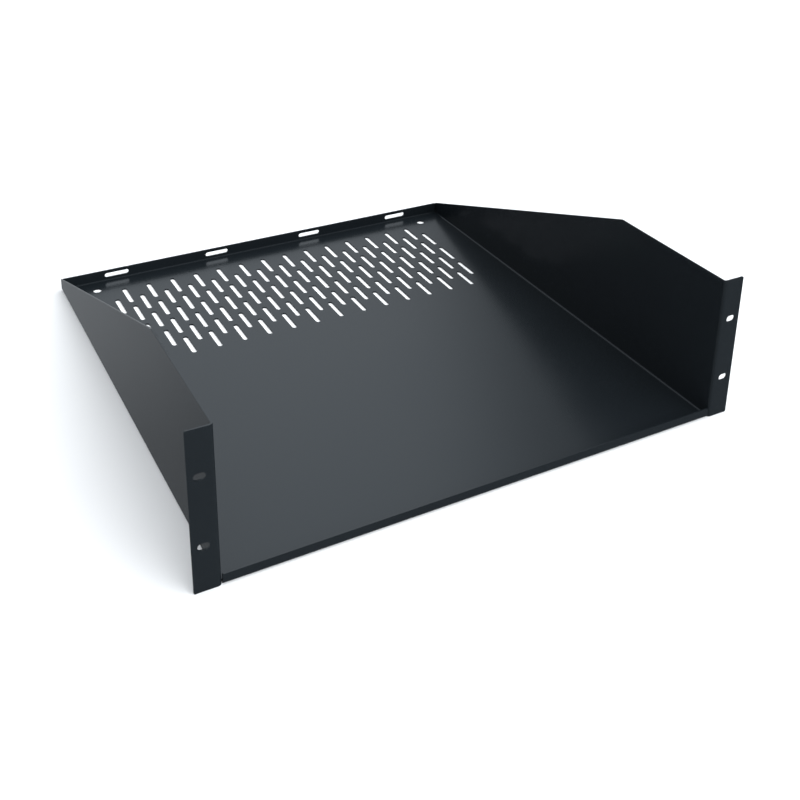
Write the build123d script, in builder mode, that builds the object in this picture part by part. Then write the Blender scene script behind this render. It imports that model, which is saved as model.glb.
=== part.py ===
from build123d import *
import os

# Vented rack shelf, three rack units high, folded from one sheet of steel.
# Millimetres. X runs across the rack, Y from the mounting ears at the front (low Y)
# to the rear flange (high Y), and Z up from the underside of the floor.
# The origin is the middle of the footprint, level with the underside of the floor.

# Rack panel sizes
rack_unit = 44.45
units_high = 3
panel_clearance = 0.85       # the panel is this much shorter than its rack spaces
panel_width = 482.6
ear_width = 19.05            # what the panel stands out from the body on each side
ear_slot_from_edge = 8.75    # from the outer edge of an ear to the centres of its slots
ear_slots_upright = 57.15    # between the upper and the lower ear slot
ear_slot_length = 8.9
ear_slot_height = 5.8

# Folded body
depth = 482.6                # from the front face of the ears to the rear face
sheet = 1.5
bend_radius = 1.5            # on the inside of every fold
relief = 1.0                 # clearance cut beyond the folds where two of them meet
lip_gap = 0.3                # from the ends of the front lip to the side walls
flange_gap = 0.2             # the same at the rear flange, which nearly touches them
lip_height = 9.0             # upturned front edge of the floor
rear_height = 13.1           # upturned rear flange, and the side walls where they meet it
level_length = 137.5         # the side walls are full height over this length
knee_radius = 3.0            # rounding where the level top turns into the slope
corner_radius = 1.0          # rounding of the free corners of ears, lip and flange

# Vent slots, long from front to rear, in staggered rows near the rear of the floor
vent_length = 32.0
vent_width = 4.8
vent_column_pitch = 25.4
vent_row_pitch = 20.32
vent_rows = 7
vent_from_rear = 43.2        # from the rear face to the centres of the rearmost row
vent_side_margin = 40.0      # least distance from a side fold to the nearest column

# Round holes in the rear corners of the floor
floor_hole = 8.7
floor_hole_from_side = 31.75  # from the outside of the nearer side wall
floor_hole_from_rear = 19.3

# Slots along the rear flange
flange_slots = 4
flange_slot_pitch = 110.0
flange_slot_length = 25.4
flange_slot_height = 4.8
flange_slot_level = 7.4      # height of their centres above the underside of the floor

# Derived sizes
panel_height = units_high * rack_unit - panel_clearance
body_width = panel_width - 2 * ear_width  # over the outside of the two side walls
ear_slots_across = panel_width - 2 * ear_slot_from_edge
floor_hole_spacing = body_width - 2 * floor_hole_from_side
fold = bend_radius + sheet                # outer radius of every fold
front = -depth / 2
rear = depth / 2
wall_inside = body_width / 2 - sheet
floor_flat = body_width / 2 - fold        # half width of the floor between its side folds
cutback = fold + relief
lip_width = 2 * (wall_inside - lip_gap)
flange_width = 2 * (wall_inside - flange_gap)
vent_long_row = 1 + 2 * int((floor_flat - vent_side_margin) // vent_column_pitch)


# Section of a quarter fold with its upright leg: the sheet arrives along the local x axis
# with its outer face on y = 0, and the leg ends at y = reach.
def fold_section(reach):
    with BuildSketch() as section:
        with BuildLine():
            Line((0, sheet), (0, 0))
            CenterArc((0, fold), fold, -90, 90)
            Polyline((fold, fold), (fold, reach), (fold - sheet, reach), (fold - sheet, fold))
            CenterArc((0, fold), bend_radius, -90, 90)
        make_face()
    return section.sketch


with BuildPart() as shelf:
    # Floor and side walls: one channel section along the whole depth
    with BuildSketch(Plane.XZ.offset(-rear)) as channel:
        with Locations((0, panel_height / 2)):
            Rectangle(body_width, panel_height)
        fillet(channel.vertices().group_by(Axis.Y)[0], fold)
    extrude(amount=depth - fold)
    with BuildSketch(Plane.XZ.offset(-rear)) as hollow:
        with Locations((0, sheet + panel_height / 2)):
            Rectangle(body_width - 2 * sheet, panel_height)
        fillet(hollow.vertices().group_by(Axis.Y)[0], bend_radius)
    extrude(amount=depth - fold, mode=Mode.SUBTRACT)

    # Sloping tops of the side walls, cut through both at once
    with BuildSketch(Plane.YZ) as above_slope:
        with BuildLine():
            Polyline(
                (front + level_length, panel_height),
                (rear, rear_height),
                (rear, 2 * panel_height),
                (front, 2 * panel_height),
                (front, panel_height),
                close=True,
            )
        make_face()
        knee = above_slope.vertices().sort_by_distance((front + level_length, panel_height))[0]
        fillet(knee, knee_radius)
    extrude(amount=body_width, both=True, mode=Mode.SUBTRACT)

    # The floor stops where its rear fold begins
    with BuildSketch() as floor_end:
        with Locations((0, rear)):
            Rectangle(2 * floor_flat, 2 * fold)
    extrude(amount=sheet, mode=Mode.SUBTRACT)

    # Relief slits in the four lower corners, where two folds meet
    with BuildSketch() as reliefs:
        for side in (-1, 1):
            with Locations((side * (floor_flat + body_width / 2) / 2, front + fold + relief / 2)):
                Rectangle(body_width / 2 - floor_flat, relief)
            with Locations((side * (floor_flat + wall_inside) / 2, rear - cutback / 2)):
                Rectangle(wall_inside - floor_flat, cutback)
    extrude(amount=cutback, mode=Mode.SUBTRACT)

    # Rear flange, folded up from the floor
    rear_plane = Plane(origin=(-flange_width / 2, rear - fold, 0), x_dir=(0, 1, 0), z_dir=(1, 0, 0))
    with BuildSketch(rear_plane):
        add(fold_section(rear_height))
    extrude(amount=flange_width)

    # Front lip, folded up from the floor
    front_plane = Plane(origin=(lip_width / 2, front + fold, 0), x_dir=(0, -1, 0), z_dir=(-1, 0, 0))
    with BuildSketch(front_plane):
        add(fold_section(lip_height))
    extrude(amount=lip_width)

    # Rack ears, folded outwards from the front edges of the side walls
    ear_plane = Plane(origin=(wall_inside, front + fold, 0), x_dir=(0, -1, 0), z_dir=(0, 0, 1))
    with BuildSketch(ear_plane):
        add(fold_section(panel_width / 2 - wall_inside))
    ear = extrude(amount=panel_height)
    mirror(ear, about=Plane.YZ)

    # Rounded free corners of the ears, the lip and the flange
    across_sheet = shelf.edges().filter_by(Axis.Y)
    free_corners = across_sheet.group_by(Axis.X)[0] + across_sheet.group_by(Axis.X)[-1]
    for side in (-1, 1):
        free_corners += across_sheet.sort_by_distance((side * lip_width / 2, front, lip_height))[:1]
        free_corners += across_sheet.sort_by_distance((side * flange_width / 2, rear, rear_height))[:1]
    fillet(free_corners, corner_radius)

    # Slotted screw holes in the ears
    with BuildSketch(Plane.XZ.offset(-front)):
        with Locations((0, panel_height / 2)):
            with GridLocations(ear_slots_across, ear_slots_upright, 2, 2):
                SlotOverall(ear_slot_length, ear_slot_height)
    extrude(amount=-sheet, mode=Mode.SUBTRACT)

    # Vent slots: short and long rows take turns, starting with a short one at the rear
    with BuildSketch():
        for row in range(vent_rows):
            columns = vent_long_row - 1 + row % 2
            with Locations((0, rear - vent_from_rear - row * vent_row_pitch)):
                with GridLocations(vent_column_pitch, vent_row_pitch, columns, 1):
                    SlotOverall(vent_length, vent_width, rotation=90)
    extrude(amount=sheet, mode=Mode.SUBTRACT)

    # Round holes in the rear corners of the floor
    with BuildSketch():
        with Locations((0, rear - floor_hole_from_rear)):
            with GridLocations(floor_hole_spacing, floor_hole, 2, 1):
                Circle(floor_hole / 2)
    extrude(amount=sheet, mode=Mode.SUBTRACT)

    # Slots along the rear flange
    with BuildSketch(Plane.XZ.offset(-rear)):
        with Locations((0, flange_slot_level)):
            with GridLocations(flange_slot_pitch, flange_slot_height, flange_slots, 1):
                SlotOverall(flange_slot_length, flange_slot_height)
    extrude(amount=sheet, mode=Mode.SUBTRACT)

shelf.part.label = "shelf"

os.makedirs("parts", exist_ok=True)
export_step(shelf.part, "parts/shelf.step")
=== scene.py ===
import bpy, math
from mathutils import Matrix, Vector

# Vented rack shelf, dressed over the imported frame. Metres, Z up, ears towards -Y.
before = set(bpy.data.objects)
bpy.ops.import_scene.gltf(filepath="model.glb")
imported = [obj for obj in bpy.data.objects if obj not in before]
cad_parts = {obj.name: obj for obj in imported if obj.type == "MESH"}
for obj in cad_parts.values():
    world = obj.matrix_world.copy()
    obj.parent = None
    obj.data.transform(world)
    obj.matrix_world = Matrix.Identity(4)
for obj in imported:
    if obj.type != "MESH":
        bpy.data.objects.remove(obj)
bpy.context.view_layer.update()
scene = bpy.context.scene
print("frame loaded")


# Shader maths: a wrapped socket, so that masks and sums read as plain expressions
class Sock:
    def __init__(self, tree, socket):
        self.tree, self.socket = tree, socket

    def maths(self, operation, other, flipped=False):
        a, b = (other, self) if flipped else (self, other)
        return addNode(self.tree, "ShaderNodeMath", {"operation": operation}, {0: a, 1: b})

    def __add__(self, other): return self.maths("ADD", other)
    def __radd__(self, other): return self.maths("ADD", other, True)
    def __sub__(self, other): return self.maths("SUBTRACT", other)
    def __rsub__(self, other): return self.maths("SUBTRACT", other, True)
    def __mul__(self, other): return self.maths("MULTIPLY", other)
    def __rmul__(self, other): return self.maths("MULTIPLY", other, True)


# One way to make any other node: its type, the settings that come first, then its sockets
def addNode(tree, kind, settings=None, sockets=None, out=0):
    node = tree.nodes.new(kind)
    for name, value in (settings or {}).items():
        setattr(node, name, value)
    for name, value in (sockets or {}).items():
        if isinstance(value, Sock):
            tree.links.new(value.socket, node.inputs[name])
        else:
            node.inputs[name].default_value = value
    return Sock(tree, node.outputs[out]) if len(node.outputs) else None


def newMaterial(name):
    material = bpy.data.materials.new(name)
    material.use_nodes = True
    material.node_tree.nodes.clear()
    return material, material.node_tree


# Satin black powder coat on sheet steel
coatLook = {
    "colour": (0.0080, 0.0105, 0.0127),
    "toneSpread": 0.15,          # share by which the colour drifts over the sheet
    "driftScale": 9.0,           # drifts to a metre
    "roughness": 0.23,
    "roughSpread": 0.03,         # how far the roughness drifts to each side
    "specular": 0.5,
    "gloss": (0.94, 1.0, 1.04),  # faint tint of the mirrored light
    "peelSize": 0.0016,          # size and depth of the coat's orange peel, metres
    "peelDepth": 0.000012,
    "grainSize": 0.0005,         # and of its finest grain
    "grainDepth": 0.000004,
}


def satinBlackCoat(look):
    material, tree = newMaterial("satinBlackCoat")
    place = addNode(tree, "ShaderNodeTexCoord", out="Object")

    def noise(scale, detail):
        return addNode(tree, "ShaderNodeTexNoise", {}, {"Vector": place, "Scale": scale, "Detail": detail})

    drift = noise(look["driftScale"], 3.0)
    peel = noise(1 / look["peelSize"], 2.0)
    grain = noise(1 / look["grainSize"], 1.0)
    dark = tuple(c * (1 - look["toneSpread"]) for c in look["colour"]) + (1,)
    light = tuple(c * (1 + look["toneSpread"]) for c in look["colour"]) + (1,)
    shades = {0: drift, 6: dark, 7: light}   # the Mix node's factor and its two colours, by number
    colour = addNode(tree, "ShaderNodeMix", {"data_type": "RGBA"}, shades, out=2)
    rough = drift * (2 * look["roughSpread"]) + (look["roughness"] - look["roughSpread"])
    height = peel * look["peelDepth"] + grain * look["grainDepth"]
    bump = addNode(tree, "ShaderNodeBump", {}, {"Strength": 1.0, "Distance": 1.0, "Height": height})
    coat = addNode(tree, "ShaderNodeBsdfPrincipled", {}, {
        "Base Color": colour, "Roughness": rough, "Metallic": 0.0,
        "Specular IOR Level": look["specular"], "Specular Tint": look["gloss"] + (1,), "Normal": bump})
    addNode(tree, "ShaderNodeOutputMaterial", {}, {"Surface": coat})
    return material


# The folded sheet keeps its CAD mesh and gets softly broken cut edges
edgeLook = {
    "weldDistance": 1e-6,   # metres
    "flatAngle": 0.5,       # triangles that turn less than this are joined, degrees
    "edgeAngle": 30.0,      # edges sharper than this are broken, degrees
    "edgeRound": 0.0004,    # by how much, metres
    "segments": 2,
}


def dressShelf(shelf, look):
    weld = shelf.modifiers.new("weldTriangles", "WELD")
    weld.merge_threshold = look["weldDistance"]
    flat = shelf.modifiers.new("joinFlats", "DECIMATE")
    flat.decimate_type = "DISSOLVE"
    flat.angle_limit = math.radians(look["flatAngle"])
    edge = shelf.modifiers.new("softenCutEdges", "BEVEL")
    edge.offset_type = "ABSOLUTE"   # measured along the edges that meet, so the relief slits get no spikes
    edge.width, edge.segments = look["edgeRound"], look["segments"]
    edge.limit_method, edge.angle_limit = "ANGLE", math.radians(look["edgeAngle"])
    edge.use_clamp_overlap = False
    smooth = shelf.modifiers.new("evenNormals", "WEIGHTED_NORMAL")
    smooth.keep_sharp = False
    smooth.weight = 100


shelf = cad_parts["shelf"]
shelf.data.materials.clear()
shelf.data.materials.append(satinBlackCoat(coatLook))
dressShelf(shelf, edgeLook)
print("shelf dressed")

# Plain pale studio: a white table, a dim room with a bright pale wall behind the shelf,
# a light band along the horizon, and two wide soft lamps, one overhead and one at the front right
studioLook = {
    "floorHalf": 30.0,                  # half the width of the white table, metres
    "floorTone": 0.90,
    # Places in the sky are parts of a direction of length 1: x to the right, y to the back, z up
    "wallGlow": (0.70, 1.04, 1.22),     # behind the shelf, mirrored by its floor: low, half way and high up
    "wallRise": (0.38, 0.50, 0.62),     # the z of these three
    "wallFrom": (0.30, 0.70),           # the y where the wall's light begins and where it is full
    "wallLeft": 0.5,                    # share of its light on the far left
    "leftFade": (-0.25, 0.15),          # the x where that share begins to grow and where the light is whole
    "wallEnd": 31.0,                    # where the wall ends on the right, degrees from straight back
    "endLevel": 0.49,                   # the z at which it ends just there
    "wallLean": 0.3,                    # how far its end leans outwards with height
    "endFade": (-0.02, 0.055),          # how far before and past its end the light falls off
    "pastEnd": 0.30,                    # share of its light beyond that end
    "roomGlow": 0.25,                   # in all other directions above the band
    "tableGlow": (0.14, 0.40, 0.19),    # mirrored below: in front, well behind, and closer behind the shelf
    "tableRise": (-0.60, -0.44),        # the z where closer begins to turn into well behind, and where it has
    "bandGlow": 1.08,                   # along the horizon, a pale background for low views
    "band": (-0.08, 0.11),              # the z of its lower and upper rim
    "bandSoft": 0.02,                   # half the width of its soft rims
    "tint": (0.94, 1.0, 1.06),          # colour of all this glow
    "lampTint": (0.975, 1.0, 1.025),
    # Direction towards each lamp, its width in degrees as the shelf sees it, and its power
    "lamps": {
        "overhead": ((0.32, -0.36, 1.0), 110.0, 4.0),
        "front": ((0.50, -1.0, 0.35), 50.0, 1.6),
    },
}


# The table is white to the eye, and glossy coats mirror the darker glow set for it instead
def makeFloor(look):
    half = look["floorHalf"]
    corners = [(-half, -half, 0), (half, -half, 0), (half, half, 0), (-half, half, 0)]
    mesh = bpy.data.meshes.new("studioFloor")
    mesh.from_pydata(corners, [], [(0, 1, 2, 3)])
    floor = bpy.data.objects.new("studioFloor", mesh)
    scene.collection.objects.link(floor)
    material, tree = newMaterial("paleFloor")
    tone = look["floorTone"]
    paper = addNode(tree, "ShaderNodeBsdfPrincipled", {}, {
        "Base Color": (tone, tone, tone, 1), "Roughness": 0.9, "Specular IOR Level": 0.1})
    addNode(tree, "ShaderNodeOutputMaterial", {}, {"Surface": paper})
    mesh.materials.append(material)
    floor.visible_glossy = False


# The sky's glow by direction: room, then the wall towards +Y, the horizon band, and the table below
def makeSky(look):
    world = bpy.data.worlds.new("studioSky")
    world.use_nodes = True
    tree = world.node_tree
    tree.nodes.clear()
    direction = addNode(tree, "ShaderNodeTexCoord", out="Generated")
    split = addNode(tree, "ShaderNodeSeparateXYZ", {}, {"Vector": direction}).socket.node
    x, y, z = (Sock(tree, split.outputs[axis]) for axis in "XYZ")

    def ramp(value, low, high):
        return addNode(tree, "ShaderNodeMapRange", {"interpolation_type": "SMOOTHSTEP"},
                       {"Value": value, "From Min": low, "From Max": high})

    wall = ramp(y, *look["wallFrom"])
    end = math.radians(look["wallEnd"])
    lean = (z - look["endLevel"]) * look["wallLean"]
    right = ramp(x * math.cos(end) - y * math.sin(end) - lean, *look["endFade"])
    left = 1 - ramp(x, *look["leftFade"])
    side = (1 - right * (1 - look["pastEnd"])) * (1 - left * (1 - look["wallLeft"]))
    near, middle, far = look["wallGlow"]
    low, mid, high = look["wallRise"]
    bright = (ramp(z, low, mid) * (middle - near) + ramp(z, mid, high) * (far - middle) + near) * side
    above = wall * (bright - look["roomGlow"]) + look["roomGlow"]
    (low, high), soft = look["band"], look["bandSoft"]
    under = 1 - ramp(z, low - soft, low + soft)
    upper = ramp(z, high - soft, high + soft)
    front, away, close = look["tableGlow"]
    table = wall * (ramp(z, *look["tableRise"]) * (away - close) + (close - front)) + front
    glow = above * upper + (1 - upper) * (1 - under) * look["bandGlow"] + under * table
    back = addNode(tree, "ShaderNodeBackground", {}, {"Color": look["tint"] + (1,), "Strength": glow})
    addNode(tree, "ShaderNodeOutputWorld", {}, {"Surface": back})
    scene.world = world


def makeLamps(look):
    for name, (towards, spread, power) in look["lamps"].items():
        data = bpy.data.lights.new(name + "Lamp", "SUN")
        data.angle, data.energy, data.color = math.radians(spread), power, look["lampTint"]
        lamp = bpy.data.objects.new(name + "Lamp", data)
        scene.collection.objects.link(lamp)
        lamp.rotation_euler = Vector(towards).to_track_quat("Z", "Y").to_euler()
        lamp.visible_glossy = False


makeFloor(studioLook)
makeSky(studioLook)
makeLamps(studioLook)
scene.view_settings.view_transform = "Standard"
scene.view_settings.look = "None"
print("studio ready")

# The camera stands where the photograph was taken from: front left, looking down
cameraLook = {
    "place": (-0.4140, -0.8530, 0.5690),
    "azimuth": -29.470, "elevation": 21.597, "roll": 1.337,
    "lens": 51.447, "shift": (-0.03, -0.30),
}


def makeCamera(look):
    data = bpy.data.cameras.new("studioCamera")
    data.sensor_width, data.lens = 36.0, look["lens"]
    data.shift_x, data.shift_y = look["shift"]
    data.clip_start, data.clip_end = 0.01, 100
    camera = bpy.data.objects.new("studioCamera", data)
    scene.collection.objects.link(camera)
    a, e = math.radians(look["azimuth"]), math.radians(look["elevation"])
    back = Vector((math.sin(a) * math.cos(e), -math.cos(a) * math.cos(e), math.sin(e)))
    aim = (-back).to_track_quat("-Z", "Y").to_matrix().to_4x4()
    turn = aim @ Matrix.Rotation(math.radians(look["roll"]), 4, "Z")
    camera.matrix_world = Matrix.Translation(Vector(look["place"])) @ turn
    scene.camera = camera


makeCamera(cameraLook)
print("camera placed")
